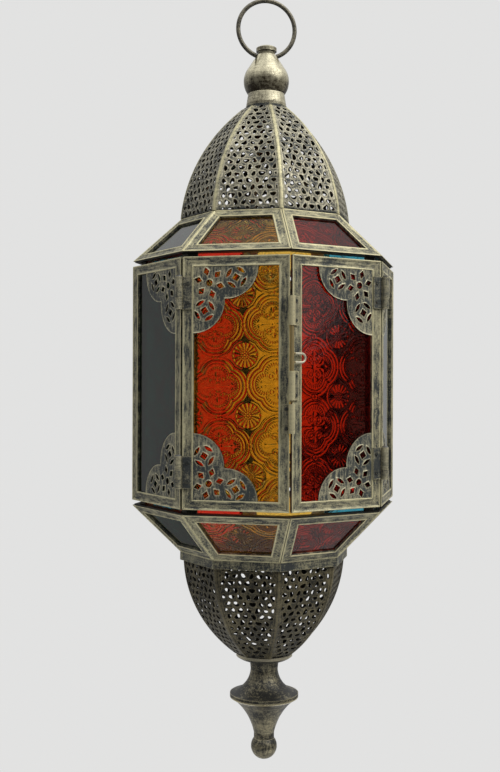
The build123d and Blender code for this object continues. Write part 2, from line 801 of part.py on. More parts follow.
# Candle tray on the base rails, cup and the rivet that ends flush with the cup's floor
base_lean = (eave_a - waist_a) / base_h
tray_inner_a = waist_a - frame_t * hypot(1, base_lean) + base_lean * tray_lift
tray_a = tray_inner_a - tray_gap * hypot(1, base_lean)
z_tray = z_base_foot + tray_lift
z_cup = z_tray + tray_t
with BuildPart() as candle_tray:
    with BuildSketch(Plane.XY.offset(z_tray)):
        RegularPolygon(tray_a / cos(half), 8)
    extrude(amount=tray_t, taper=-degrees(atan(base_lean)))
    with BuildSketch(Plane.XY.offset(z_tray)):
        Circle(cup_rivet_r + rivet_clear)
    extrude(amount=tray_t, mode=Mode.SUBTRACT)
save(candle_tray.part, "candle_tray")

with BuildPart() as candle_cup:
    with BuildSketch(Plane.XY.offset(z_cup)):
        Circle(cup_bore_r + cup_wall)
    extrude(amount=cup_h)
    with BuildSketch(Plane.XY.offset(z_cup + cup_wall)):
        Circle(cup_bore_r)
    extrude(amount=cup_h, mode=Mode.SUBTRACT)
    with BuildSketch(Plane.XY.offset(z_cup)):
        Circle(cup_rivet_r + rivet_clear)
    extrude(amount=cup_wall, taper=-cup_sink_angle, mode=Mode.SUBTRACT)
save(candle_cup.part, "candle_cup")

with BuildPart() as cup_rivet:
    with BuildSketch(Plane.XY.offset(z_tray)):
        Circle(cup_rivet_r)
    extrude(amount=tray_t)
    with BuildSketch(Plane.XY.offset(z_cup)):
        Circle(cup_rivet_r)
    extrude(amount=cup_wall, taper=-cup_sink_angle)
    with BuildSketch(Plane.XY.offset(z_tray)):
        Circle(cup_rivet_head_r)
    extrude(amount=-cup_rivet_head_h)
save(cup_rivet.part, "cup_rivet")
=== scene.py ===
# %% [markdown]
# A hanging eight-sided lantern of antique brass and coloured pressed glass. The solid model is
# loaded first and stays fixed. Every piece made here takes its place from it and rides on one of
# its bodies. All but two thin strips also stand for one of its nodes, which is then hidden.

# %% Load the frame
import json
import bpy
import numpy as np
from mathutils import Matrix, Vector


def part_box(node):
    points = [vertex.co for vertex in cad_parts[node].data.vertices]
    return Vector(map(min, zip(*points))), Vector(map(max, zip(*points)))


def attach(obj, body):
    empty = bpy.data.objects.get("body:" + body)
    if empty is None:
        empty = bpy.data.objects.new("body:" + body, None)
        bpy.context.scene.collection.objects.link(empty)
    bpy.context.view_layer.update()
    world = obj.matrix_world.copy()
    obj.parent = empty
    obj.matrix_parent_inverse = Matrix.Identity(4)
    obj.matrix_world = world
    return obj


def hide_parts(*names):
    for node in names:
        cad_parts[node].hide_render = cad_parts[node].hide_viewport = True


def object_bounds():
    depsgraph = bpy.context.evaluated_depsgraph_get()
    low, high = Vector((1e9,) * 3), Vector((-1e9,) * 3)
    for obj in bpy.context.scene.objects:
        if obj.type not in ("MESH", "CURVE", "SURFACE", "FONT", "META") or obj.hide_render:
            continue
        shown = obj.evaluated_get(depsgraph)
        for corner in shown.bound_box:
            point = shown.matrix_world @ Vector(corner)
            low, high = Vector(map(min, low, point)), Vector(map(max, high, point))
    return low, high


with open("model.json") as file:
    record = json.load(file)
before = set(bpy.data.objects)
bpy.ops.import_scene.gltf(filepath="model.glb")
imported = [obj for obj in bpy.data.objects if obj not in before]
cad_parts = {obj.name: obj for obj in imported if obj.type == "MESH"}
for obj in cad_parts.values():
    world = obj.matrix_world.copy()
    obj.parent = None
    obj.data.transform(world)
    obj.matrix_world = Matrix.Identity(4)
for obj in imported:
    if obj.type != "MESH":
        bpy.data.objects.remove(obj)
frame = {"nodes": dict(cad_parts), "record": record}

cad_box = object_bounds()
nodes = frame["nodes"]

# %% [markdown]
# The camera comes first, because every later choice is judged through it. It stands level with
# the middle of the lantern's body, a little to the left of the corner where the doors meet. A
# lens fitted to the tiers' corners gives its distance and its focal length.

# %% Camera
MM = 0.001
camera_at = Vector((-124.9, -713.4, -253.8)) * MM
aim_left_of_axis = np.radians(0.80)
aim_down = 0.0009
camera_roll = np.radians(0.21)
focal_length = 50.8
nearest_seen = 0.01


def place_object(name, data):
    """A new object that holds the data, linked into the scene."""
    made = bpy.data.objects.new(name, data)
    bpy.context.scene.collection.objects.link(made)
    return made


bearing = np.arctan2(-camera_at.y, -camera_at.x) + aim_left_of_axis
aim = Vector((np.cos(bearing), np.sin(bearing), -aim_down))
camera = place_object("camera", bpy.data.cameras.new("camera"))
camera.data.lens = focal_length
camera.data.clip_start = nearest_seen
turn = aim.to_track_quat("-Z", "Y").to_matrix() @ Matrix.Rotation(camera_roll, 3, "Z")
camera.matrix_world = Matrix.Translation(camera_at) @ turn.to_4x4()
bpy.context.scene.camera = camera
bpy.context.scene.view_settings.view_transform = "Standard"
print("camera at", [round(c, 3) for c in camera_at], "lens", camera.data.lens)

# %% [markdown]
# The surround, the floor and every finish are trees of nodes. One helper adds a node and links
# or sets its inputs, and sums, ramps and mixtures get short names of their own.

# %% Helper: trees of nodes


class NodeTree:
    """The nodes of a world or a material, emptied first."""

    def __init__(self, owner):
        owner.use_nodes = True
        self.tree = owner.node_tree
        self.tree.nodes.clear()

    def add(self, kind, inputs=None, **settings):
        """A new node. An input that is given a socket is linked, and any other value is set."""
        made = self.tree.nodes.new(f"ShaderNode{kind}")
        for key, value in settings.items():
            setattr(made, key, value)
        for key, value in (inputs or {}).items():
            if isinstance(value, bpy.types.NodeSocket):
                self.tree.links.new(value, made.inputs[key])
            else:
                made.inputs[key].default_value = value
        return made

    def number(self, operation, *values):
        """The result of a sum on numbers."""
        return self.add("Math", dict(enumerate(values)), operation=operation).outputs[0]

    def vector(self, operation, *values, result="Vector"):
        """The result of a sum on vectors: a vector, or a number where result says Value."""
        made = self.add("VectorMath", dict(enumerate(values)), operation=operation)
        return made.outputs[result]

    def ramp(self, value, start, stop, at_start=0.0, at_stop=1.0, kind="LINEAR"):
        """A level that goes from at_start to at_stop while the value goes from start to stop."""
        inputs = {"Value": value, 1: start, 2: stop, 3: at_start, 4: at_stop}
        return self.add("MapRange", inputs, interpolation_type=kind).outputs[0]

    def attribute(self, name):
        """A number that the piece's points carry."""
        return self.add("Attribute", attribute_name=name).outputs["Fac"]

    def mix_colours(self, share, first, second):
        """The first where the share is 0, the second where it is 1."""
        inputs = {"Factor": share, 6: (*first, 1), 7: (*second, 1)}
        return self.add("Mix", inputs, data_type="RGBA").outputs[2]

    def mix_shaders(self, share, first, second):
        """The first where the share is 0, the second where it is 1."""
        return self.add("MixShader", {0: share, 1: first, 2: second}).outputs[0]


print("node helper ready")

# %% [markdown]
# The lantern hangs before a pale surround, in soft daylight from the upper right. A backdrop
# would hide it from behind, so the surround is the world's colour: rays from the camera, and rays
# bent by glass, see it plain and pale all round. Rays mirrored by metal and glass see it behind
# the lantern, a bright sky above with its brightest part at the upper right, and a dim front with
# one pale patch to the right. That is why the doors look deep, the right one with a soft haze,
# and the roof panes pale. All other rays get a plain soft light.

# %% World
surround_colour = (0.76, 0.76, 0.755, 1)
daylight_colour = (0.95, 0.97, 1.0, 1)
# What a mirrored ray sees besides the dim front: the direction that a part lies in, the cosines
# from it at which the part begins and is whole, and its brightness
mirrored_front = 0.03
mirrored_parts = {
    "back": ((0, 1, 0), (-0.35, 0.45), 0.52),
    "sky": ((0, 0, 1), (0.15, 0.65), 0.90),
    "ground": ((0, 0, -1), (0.15, 0.6), 0.10),
    "glare": ((0.50, -0.45, 0.74), (0.72, 1.0), 2.4),
    "patch": ((0.820, -0.563, 0.104), (0.9957, 0.9995), 2.0),
}
ambient_below, ambient_above, ambient_limits = 0.08, 0.36, (-0.8, 0.8)

bpy.context.scene.world = bpy.data.worlds.new("surround")
surround = NodeTree(bpy.context.scene.world)
heading = surround.add("TexCoord").outputs["Generated"]


def toward(direction, limits, before, after):
    """A level that changes smoothly, between two cosines, as a ray turns towards a direction."""
    cosine = surround.vector("DOT_PRODUCT", heading, direction, result="Value")
    return surround.ramp(cosine, *limits, before, after, kind="SMOOTHSTEP")


def background(colour, strength):
    """A colour at a strength that may change with direction."""
    return surround.add("Background", {"Color": colour, "Strength": strength}).outputs[0]


level = mirrored_front
for direction, limits, brightness in mirrored_parts.values():
    level = toward(direction, limits, level, brightness)
mirrored = background(surround_colour, level)
ambient = toward((0, 0, 1), ambient_limits, ambient_below, ambient_above)
soft_light = background(daylight_colour, ambient)
plain = background(surround_colour, 1.0)
ray = surround.add("LightPath").outputs
seen = surround.number("MAXIMUM", ray["Is Camera Ray"], ray["Is Transmission Ray"])
unseen = surround.mix_shaders(ray["Is Glossy Ray"], soft_light, mirrored)
surround.add("OutputWorld", {"Surface": surround.mix_shaders(seen, unseen, plain)})
print("mirrored in metal and glass:", list(mirrored_parts))

# %% [markdown]
# A pale floor lies well below the lantern and takes its shadow. It is one round face, and its
# paint fades into the surround towards the rim, so that no edge shows.

# %% Floor
floor_r = 0.6
floor_drop = 0.25
floor_corners = 96
floor_colour = (0.62, 0.62, 0.61, 1)
fade_from, fade_to = 0.35, 0.98

floor_z = cad_box[0][2] - floor_drop
turns = np.linspace(0, 2 * np.pi, floor_corners, endpoint=False)
rim = np.stack([floor_r * np.cos(turns), floor_r * np.sin(turns), 0 * turns + floor_z], 1)
floor_mesh = bpy.data.meshes.new("floor")
floor_mesh.from_pydata(rim.tolist(), [], [list(range(floor_corners))])
floor = place_object("floor", floor_mesh)
floor_paint = bpy.data.materials.new("pale floor")
shader = NodeTree(floor_paint)
flat = shader.vector("MULTIPLY", shader.add("TexCoord").outputs["Object"], (1, 1, 0))
out = shader.vector("LENGTH", flat, result="Value")
fade = shader.ramp(out, fade_from * floor_r, fade_to * floor_r)
paint = shader.add("BsdfDiffuse", {"Color": floor_colour}).outputs[0]
glow = shader.add("Emission", {"Color": surround_colour}).outputs[0]
shader.add("OutputMaterial", {"Surface": shader.mix_shaders(fade, paint, glow)})
floor_mesh.materials.append(floor_paint)
print("floor at", round(floor_z, 3))

# %% [markdown]
# Three soft lamps light the lantern: one at the upper right, as a window would, one above it, and
# a weak one at the left that opens the shadows. Metal and glass don't mirror them, because the
# world already holds all that is mirrored.

# %% Lamps
lamp_target = Vector((0, 0, -0.25))


def soft_lamp(name, place, size, watts, colour):
    """A square area lamp, aimed at the lantern's middle and not mirrored by metal or glass."""
    lamp = bpy.data.lights.new(name, "AREA")
    lamp.size = size
    lamp.energy = watts
    lamp.color = colour
    holder = place_object(name, lamp)
    aim = (lamp_target - Vector(place)).to_track_quat("-Z", "Y")
    holder.matrix_world = Matrix.Translation(place) @ aim.to_matrix().to_4x4()
    holder.visible_camera = False
    holder.visible_transmission = False
    holder.visible_glossy = False


soft_lamp("window", (0.9, -1.0, 0.75), 0.7, 24.0, (1.0, 0.98, 0.94))
soft_lamp("sky", (0.1, 0.1, 1.4), 1.0, 9.0, (0.94, 0.97, 1.0))
soft_lamp("fill", (-1.2, -0.7, 0.0), 0.9, 2.0, (1.0, 0.99, 0.97))
print("lamps: window, sky, fill")

# %% [markdown]
# All sizes below are in millimetres. Heights come from the frame, so each tier sits exactly where
# the solids are. The octagon's corner radius, the strips and the sheet gauges are the driving
# dimensions.

# %% Sizes
# Half of one panel's angle round the axis
half = np.radians(22.5)
eave_r = 88.0
waist_r = 56.3
frame_t = 5.0
lip_t = 1.6
glass_t = 2.2
glass_gap = 0.1
stile_w = 7.6
rail_w = 6.2
slope_strip_w = 6.6


def heights(node):
    """Lowest and highest level of a node, in millimetres."""
    low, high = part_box(node)
    return low.z / MM, high.z / MM


def reach(node):
    """Largest distance of a node from the axis along X, in millimetres."""
    low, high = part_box(node)
    return max(-low.x, high.x) / MM


z_eave, z_roof_top = heights("roof_frames")
z_body_foot, z_body_top = heights("side_frame_back_left")
z_base_foot, z_base_top = heights("base_frames")
z_tip, _ = heights("lower_dome_gores")
_, z_dome_top = heights("upper_dome_gores")
eave_a = eave_r * np.cos(half)
waist_a = waist_r * np.cos(half)
# Foot and head of each tier's face, as distance from the axis and level
roof_face = ((eave_a, z_eave), (waist_a, z_roof_top))
side_face = ((eave_a, z_body_foot), (eave_a, z_body_top))
base_face = ((waist_a, z_base_foot), (eave_a, z_base_top))
print("eave, waists and tip:", np.round([z_eave, z_roof_top, z_base_foot, z_tip], 1))

# %% [markdown]
# Antique brass is brass blackened all over and then rubbed back: the patina stays grey-black in
# the hollows, and the metal shows a pale gold on edges and on whatever a cloth reaches. The
# finish mixes the two. Pieces made here carry an attribute for the mix, 1 on ridges and 0 in
# hollows, which also holds painted shade on the lower dome and its ribs and painted shadow at the
# domes' ends, and one called run, 1 where the cloth went up and down and -1 where it went along.
# On the plain solids a rounded normal finds the edges. Noise breaks both up, as a cloth does.

# %% Helper: rubbed metal
# Marks of the cloth: squeeze along X, Y and Z, cycles per metre, detail, how far they shift the
# rubbing, and how much more they do so where run is 1
cloth_marks = {
    "clouds": ((1, 1, 1), 70.0, 3.0, 1.2, 0.0),
    "upright strokes": ((1, 1, 0.22), 800.0, 3.0, 0.9, 0.8),
    "level strokes": ((0.22, 0.22, 1), 800.0, 3.0, 0.9, -0.8),
    "grain": ((1, 1, 1), 1300.0, 2.0, 1.0, 0.0),
}
mark_roughness = 0.6
stroke_strength, stroke_depth = 0.25, 0.2
# How much duller patina is than gold, and its share of the gold's metal
patina_duller = 0.14
patina_metal = 0.4


def edge_wear(shader, normal, soft_edge):
    """0 on flat faces, up to 0.85 where the normal rounded over soft_edge leaves the true one."""
    rounded = shader.add("Bevel", {"Radius": soft_edge * MM}).outputs[0]
    alike = shader.vector("DOT_PRODUCT", normal, rounded, result="Value")
    return shader.ramp(alike, 0.995, 0.86, 0.0, 0.85)


# Lightens a barrel, partly as rubbed wear and partly as a painted highlight along it; a negative
# amount darkens it.
def barrel_sheen_and_wear(shader, place, across, out, radius, amount):
    """An amount inside a barrel round an upright axis, and round its mirror images in X and Y."""
    sides = shader.vector("MULTIPLY", shader.vector("ABSOLUTE", place), (1, 1, 0))
    away = shader.vector("DISTANCE", sides, (across * MM, out * MM, 0), result="Value")
    barrel_r = radius * MM
    return shader.ramp(away, 1.2 * barrel_r, 1.1 * barrel_r, 0.0, amount)


# Lightens a turned rim: on the drop a painted highlight along the lower edge of its flare, on the
# collar a lighter rim.
def rim_sheen_and_wear(shader, place, level, width):
    """0.9 at one level of a turned piece, falling to 0 at a width above and below it."""
    height = shader.add("SeparateXYZ", {0: place}).outputs["Z"]
    away = shader.number("ABSOLUTE", shader.number("SUBTRACT", height, level * MM))
    rim_w = width * MM
    return shader.ramp(away, rim_w, 0.4 * rim_w, 0.0, 0.9)


def rubbed_metal(name, patina, gold, rub, soft_edge=0.35, metal=0.55, satin=0.38, mottle=1.0,
                 upward=0.0, barrel_at=None, rim_at=None):
    """Patina where worn is 0, pale gold where it is 1, broken up by the marks of the cloth.

    Faces that look up get lighter by the upward share, as painted light from above, and darker
    where it is below zero. An upright barrel and a turned rim get lighter, partly by wear and
    partly as a painted highlight; a barrel share below zero darkens it."""
    finish = bpy.data.materials.new(name)
    shader = NodeTree(finish)
    place = shader.add("TexCoord").outputs["Object"]
    normal = shader.add("NewGeometry").outputs["Normal"]
    edge = edge_wear(shader, normal, soft_edge)
    amount = shader.number("ADD", shader.number("MAXIMUM", shader.attribute("worn"), edge), rub)
    # Painted light from above: faces that look up get lighter by the upward share, darker where it
    # is below zero.
    if upward:
        tilt = shader.add("SeparateXYZ", {0: normal}).outputs["Z"]
        amount = shader.number("MULTIPLY_ADD", tilt, upward, amount)
    if barrel_at:
        amount = shader.number("ADD", amount, barrel_sheen_and_wear(shader, place, *barrel_at))
    if rim_at:
        amount = shader.number("ADD", amount, rim_sheen_and_wear(shader, place, *rim_at))
    run = shader.attribute("run")
    marks = {}
    for kind, (squeeze, scale, detail, swing, along) in cloth_marks.items():
        where = shader.vector("MULTIPLY", place, squeeze)
        marks[kind] = shader.add("TexNoise", {"Vector": where, "Scale": scale, "Detail": detail,
                                              "Roughness": mark_roughness}).outputs[0]
        span = swing * mottle
        shift = shader.number("MULTIPLY_ADD", marks[kind], span, -0.5 * span)
        share = shader.number("MULTIPLY_ADD", run, along, 1.0)
        amount = shader.number("MULTIPLY_ADD", shift, share, amount)
    amount = shader.add("Clamp", {0: amount}).outputs[0]
    strokes = shader.add("Bump", {"Height": marks["upright strokes"], "Strength": stroke_strength,
                                  "Distance": stroke_depth * MM})
    body = shader.add("BsdfPrincipled", {
        "Base Color": shader.mix_colours(amount, patina, gold),
        "Roughness": shader.ramp(amount, 0.0, 1.0, satin + patina_duller, satin),
        "Metallic": shader.ramp(amount, 0.0, 1.0, metal * patina_metal, metal),
        "Normal": strokes.outputs[0]})
    shader.add("OutputMaterial", {"Surface": body.outputs[0]})
    return finish


print("cloth marks:", list(cloth_marks))

# %% [markdown]
# Each kind of piece was rubbed its own way: strips are streaked, frets greyer, turned pieces
# brighter and smoother, the top finial and the ring lighter on top as painted light from above,
# hinges and bolt barrels bright where they stand proud and with a painted highlight along them,
# the drop with a painted highlight on its rim, and the inside painted black as shade. The lower
# dome, its ribs and the corner posts take a darker finish as painted shade. A finish is a patina,
# a gold, and how far it was rubbed.

# %% Brass finishes
blue_grey = (0.045, 0.050, 0.050)
pale_gold = (0.74, 0.68, 0.42)
hinge_barrel_r = 2.1
bolt_barrel_r = 2.0
barrel_gap = 0.35
drop_rim_below_top = 24.1
collar_rim_below_top = 0.9
hinge_axis = (eave_r + hinge_barrel_r + barrel_gap) * np.sqrt(0.5)
bolt_axis = eave_r + bolt_barrel_r + barrel_gap
z_drop_rim = heights("bottom_finial")[1] - drop_rim_below_top
z_collar_rim = heights("lower_collar")[1] - collar_rim_below_top

antique_brass = rubbed_metal("antique brass", blue_grey, pale_gold, 0.13, mottle=1.05)
pierced_sheet = rubbed_metal("pierced sheet", (0.050, 0.057, 0.057), (0.74, 0.68, 0.45), 0.05,
                             mottle=1.2)
# A darker sheet finish: painted shade for the lower dome, its ribs and the corner posts.
painted_shade_sheet = rubbed_metal("painted shade sheet", (0.019, 0.018, 0.013), (0.27, 0.23, 0.13), 0.02)
dome_sheet = rubbed_metal("dome sheet", (0.036, 0.041, 0.042), (0.66, 0.61, 0.44), 0.0, mottle=1.1)
# The top finial's upward share lightens its upper faces and darkens its undersides: painted light
# and shade from above.
turned_brass = rubbed_metal("turned brass", (0.045, 0.034, 0.020), (0.94, 0.87, 0.62), 0.40,
                            soft_edge=0.8, metal=0.92, satin=0.16, mottle=0.9, upward=0.8)
# The drop is darker on its upward faces, a tone of its own; its rim level carries a painted
# highlight along the flare's lower edge.
drop_brass = rubbed_metal("drop brass", (0.026, 0.026, 0.024), (0.80, 0.71, 0.45), 0.10,
                          soft_edge=0.8, metal=0.85, satin=0.26, mottle=0.80, upward=-0.12,
                          rim_at=(z_drop_rim, 1.0))
collar_brass = rubbed_metal("collar brass", (0.030, 0.033, 0.032), (0.56, 0.51, 0.37), 0.10,
                            soft_edge=0.8, metal=0.6, satin=0.32, rim_at=(z_collar_rim, 1.3))
# The hinge and bolt barrels are lightened along their axes, partly as wear and partly as a painted
# highlight.
hinge_brass = rubbed_metal("hinge brass", blue_grey, (0.70, 0.64, 0.42), 0.02, soft_edge=0.8,
                           barrel_at=(hinge_axis, hinge_axis, hinge_barrel_r, 0.36))
barrel_brass = rubbed_metal("barrel brass", blue_grey, (0.72, 0.65, 0.40), 0.25, soft_edge=1.2,
                            mottle=0.7, barrel_at=(0.0, bolt_axis, bolt_barrel_r, 0.6))
# The rod is darkened along the barrels' axis.
rod_brass = rubbed_metal("rod brass", (0.25, 0.19, 0.085), (0.78, 0.74, 0.58), 0.8, soft_edge=0.2,
                         metal=0.7, mottle=0.5, barrel_at=(0.0, bolt_axis, bolt_barrel_r, -0.9))
rivet_brass = rubbed_metal("rivet brass", (0.022, 0.026, 0.027), (0.20, 0.19, 0.14), 0.05)
# Near black: painted shade for the inside of the domes, the backs of the frets and the strips
# behind the gaps.
painted_shade_inside = rubbed_metal("painted shade inside", (0.012, 0.012, 0.011), (0.05, 0.048, 0.04), 0.1)
# Finishes by the record's slots
metal_finish = {
    "antique_brass": antique_brass,
    "pierced_sheet": pierced_sheet,
    # The wire's upward share lightens its upper faces: painted light from above.
    "brass_wire": rubbed_metal("brass wire", (0.035, 0.035, 0.03), (0.55, 0.50, 0.37), 0.30,
                               metal=0.85, satin=0.24, mottle=0.8, upward=0.3),
    "steel_fixings": rubbed_metal("steel fixings", (0.06, 0.06, 0.06), (0.45, 0.45, 0.44), 0.2),
    "plain_tin": rubbed_metal("plain tin", (0.14, 0.13, 0.09), (0.32, 0.29, 0.20), 0.5, mottle=0.6),
}
print("slots with a metal finish:", sorted(metal_finish))

# %% [markdown]
# The panes are rolled glass, coloured through and pressed with a pattern on the inner face; the
# outer face is smooth. The colour of light that crosses a pane is set at its two faces. The
# pattern is real relief in the mesh, so it bends what lies behind. The steep sides of its lines
# send light astray and look dark, and the attribute called clear paints that as painted shade: 1
# on the flat tops, less on the slopes and in the grooves, so the ridge tops stand out as painted
# highlights. Lamps shine through the panes as light of the glass's colour.

# %% Glass finishes
glass_roughness = 0.05
glass_ior = 1.48
painted_shade_tint = 0.06
ripple_scale = 300.0
ripple_strength, ripple_depth = 0.12, 0.3


def pressed_glass(name, tint, gloss):
    """Coloured glass with painted shade on the slopes of the pressed lines, that lets lamps shine
    through.
    """
    finish = bpy.data.materials.new(name)
    shader = NodeTree(finish)
    place = shader.add("TexCoord").outputs["Object"]
    ripple = shader.add("TexNoise", {"Vector": place, "Scale": ripple_scale, "Detail": 2.0})
    bump = shader.add("Bump", {"Height": ripple.outputs[0], "Strength": ripple_strength,
                               "Distance": ripple_depth * MM})
    # The colour where clear is 0: a painted shade, almost black.
    steep = tuple(c * painted_shade_tint for c in tint)
    body = shader.add("BsdfPrincipled", {
        "Base Color": shader.mix_colours(shader.attribute("clear"), steep, tint),
        "Roughness": glass_roughness, "IOR": glass_ior, "Transmission Weight": 1.0,
        "Specular Tint": (gloss, gloss, gloss, 1), "Normal": bump.outputs[0]})
    passing = shader.add("BsdfTransparent", {"Color": (*tint, 1)})
    shadow = shader.add("LightPath").outputs["Is Shadow Ray"]
    both = shader.mix_shaders(shadow, body.outputs[0], passing.outputs[0])
    shader.add("OutputMaterial", {"Surface": both})
    return finish


# Colour of light that crosses a pane, and gloss
tints = {"green": ((0.026, 0.095, 0.055), 1.0), "amber": ((1.0, 0.62, 0.11), 0.75),
         "red": ((0.82, 0.040, 0.022), 0.58), "blue": ((0.065, 0.45, 0.60), 1.0)}
glass = {colour: pressed_glass(f"{colour} glass", *look) for colour, look in tints.items()}
print("glass colours:", sorted(glass))

# %% [markdown]
# A new piece goes into Blender the same way each time: whole arrays of points and faces, a
# finish, the body that it rides on and the solid node that it stands for.

# %% Helper: put a surface into the scene


def put(name, points, loops, sizes, finish, body, slot, node=None, smooth=False, **attributes):
    """Mesh from points in millimetres and polygons given as corner indices and corner counts."""
    mesh = bpy.data.meshes.new(name)
    mesh.vertices.add(len(points))
    mesh.vertices.foreach_set("co", (points * MM).astype(np.float32).ravel())
    mesh.loops.add(len(loops))
    mesh.loops.foreach_set("vertex_index", np.asarray(loops, np.int32))
    mesh.polygons.add(len(sizes))
    starts = np.concatenate([[0], np.cumsum(sizes)[:-1]])
    mesh.polygons.foreach_set("loop_start", starts.astype(np.int32))
    mesh.update(calc_edges=True)
    for key, values in attributes.items():
        column = mesh.attributes.new(key, "FLOAT", "POINT").data
        column.foreach_set("value", values.astype(np.float32).ravel())
    mesh.polygons.foreach_set("use_smooth", np.broadcast_to(smooth, len(sizes)).copy())
    mesh.validate()
    mesh.materials.append(finish)
    piece = place_object(name, mesh)
    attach(piece, body)
    if node:
        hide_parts(node)
    return piece


def cell_corners(grid):
    """Values at the four corners of each cell of a grid, in order round the cell."""
    return [grid[:-1, :-1], grid[:-1, 1:], grid[1:, 1:], grid[1:, :-1]]


def grid_quads(rows, columns, wrap_rows=False, wrap_columns=False):
    """Corner indices of the quads of a grid, row by row, closed round where asked."""
    index = np.arange(rows * columns).reshape(rows, columns)
    if wrap_rows:
        index = np.vstack([index, index[:1]])
    if wrap_columns:
        index = np.hstack([index, index[:, :1]])
    return np.stack(cell_corners(index), -1).reshape(-1, 4)


def put_quads(name, points, quads, *rest, **more):
    """A piece made of quads only."""
    return put(name, points.reshape(-1, 3), quads.ravel(), np.full(len(quads), 4), *rest, **more)


print("piece helpers ready")

# %% [markdown]
# Each of the twenty-four panels is flat, so its pieces are drawn in its own plane: u to the right
# as seen from outside, v up the slope, w outwards. One function carries them to the lantern.

# %% Panels
side_colour = {"left_door": "amber", "right_door": "red", "right_front": "green",
               "right_rear": "blue", "back_right": "amber", "back_left": "red",
               "left_rear": "blue", "left_front": "green"}
side_at = {side: -112.5 + 45 * k for k, side in enumerate(side_colour)}
corners_at = -90 + 45 * np.arange(8)
doors = ("left_door", "right_door")


def body_of(side):
    """The body that a side's pieces ride on: each door is a body of its own."""
    return side if side in doors else "lantern"


def node_of(side, kind):
    """The solid node of a kind that belongs to a side."""
    return f"{side}_{kind}" if side in doors else f"side_{kind}_{side}"


def cos_sin(degrees):
    """Cosine and sine of an angle in degrees."""
    return np.cos(np.radians(degrees)), np.sin(np.radians(degrees))


def turned(points, degrees):
    """Points turned about the lantern's axis."""
    c, s = cos_sin(degrees)
    return points @ np.array([[c, s, 0], [-s, c, 0], [0, 0, 1]])


def panel_length(face):
    """Length of a panel's face up its slope."""
    (foot_a, foot_z), (head_a, head_z) = face
    return np.hypot(head_a - foot_a, head_z - foot_z)


def on_panel(face, at, u, v, w):
    """Points of a panel: its middle plus u across, v up the slope and w out of its face."""
    (foot_a, foot_z), (head_a, head_z) = face
    c, s = cos_sin(at)
    outward, across = np.array([c, s, 0.0]), np.array([-s, c, 0.0])
    up = ((head_a - foot_a) * outward + np.array([0, 0, head_z - foot_z])) / panel_length(face)
    normal = np.cross(across, up)
    middle = (foot_a + head_a) / 2 * outward + np.array([0, 0, (foot_z + head_z) / 2])
    u, v, w = np.broadcast_arrays(u, v, w)
    return middle + u[..., None] * across + v[..., None] * up + w[..., None] * normal


def half_width(face, v):
    """Half of a panel's width at a height v up its slope."""
    (foot_a, _), (head_a, _) = face
    return ((foot_a + head_a) / 2 - (foot_a - head_a) * v / panel_length(face)) * np.tan(half)


def side_slope(face):
    """How fast a panel's half width shrinks up its slope."""
    (foot_a, _), (head_a, _) = face
    return (foot_a - head_a) * np.tan(half) / panel_length(face)


print("panels:", len(side_at), "in each of three tiers")

# %% [markdown]
# A frame is four strips of folded brass channel, mitred at the corners: two raised edges that
# wear bright, and a dark hollow between them. It is one profile carried round the panel's four
# corners. The profile runs from the outer edge to the window, and each of its points is a
# four-sided outline drawn in by its share of the strip's width. A fine dark seam is let in at
# each mitre.

# %% Channel frames
# Share of the strip's width, height over the face, and wear, from the back of the outer edge
channel = np.array([
    (0.00, -frame_t, 1.2), (0.00, 0.4 - frame_t, 0.0), (0.00, -0.5, 0.0), (0.02, -0.1, 0.9),
    (0.07, 0.0, 1.0), (0.14, -0.1, 0.5), (0.22, -0.4, 0.15), (0.34, -0.55, 0.1),
    (0.50, -0.5, 0.2), (0.66, -0.55, 0.1), (0.78, -0.4, 0.15), (0.86, -0.1, 0.5),
    (0.93, 0.0, 1.1), (0.98, -0.1, 1.0), (1.00, -0.5, 0.0), (1.00, 0.4 - frame_t, 0.0),
    (1.00, -frame_t, 1.2)])
seam_w = 0.35
seam_d = 0.12
seam_dark = 0.9
fixed_gap = 0.15
hinge_gap = 0.7
meeting_gap = 0.75
# Gaps left and right of a side's frame
side_gaps = {"left_door": (hinge_gap, meeting_gap), "right_door": (meeting_gap, hinge_gap),
             "right_front": (hinge_gap, fixed_gap), "left_front": (fixed_gap, hinge_gap)}
side_rubbing = 1.0
# Face of each sloped tier, and how far its strips were rubbed
tiers = {"roof": (roof_face, 1.4), "base": (base_face, 1.0)}


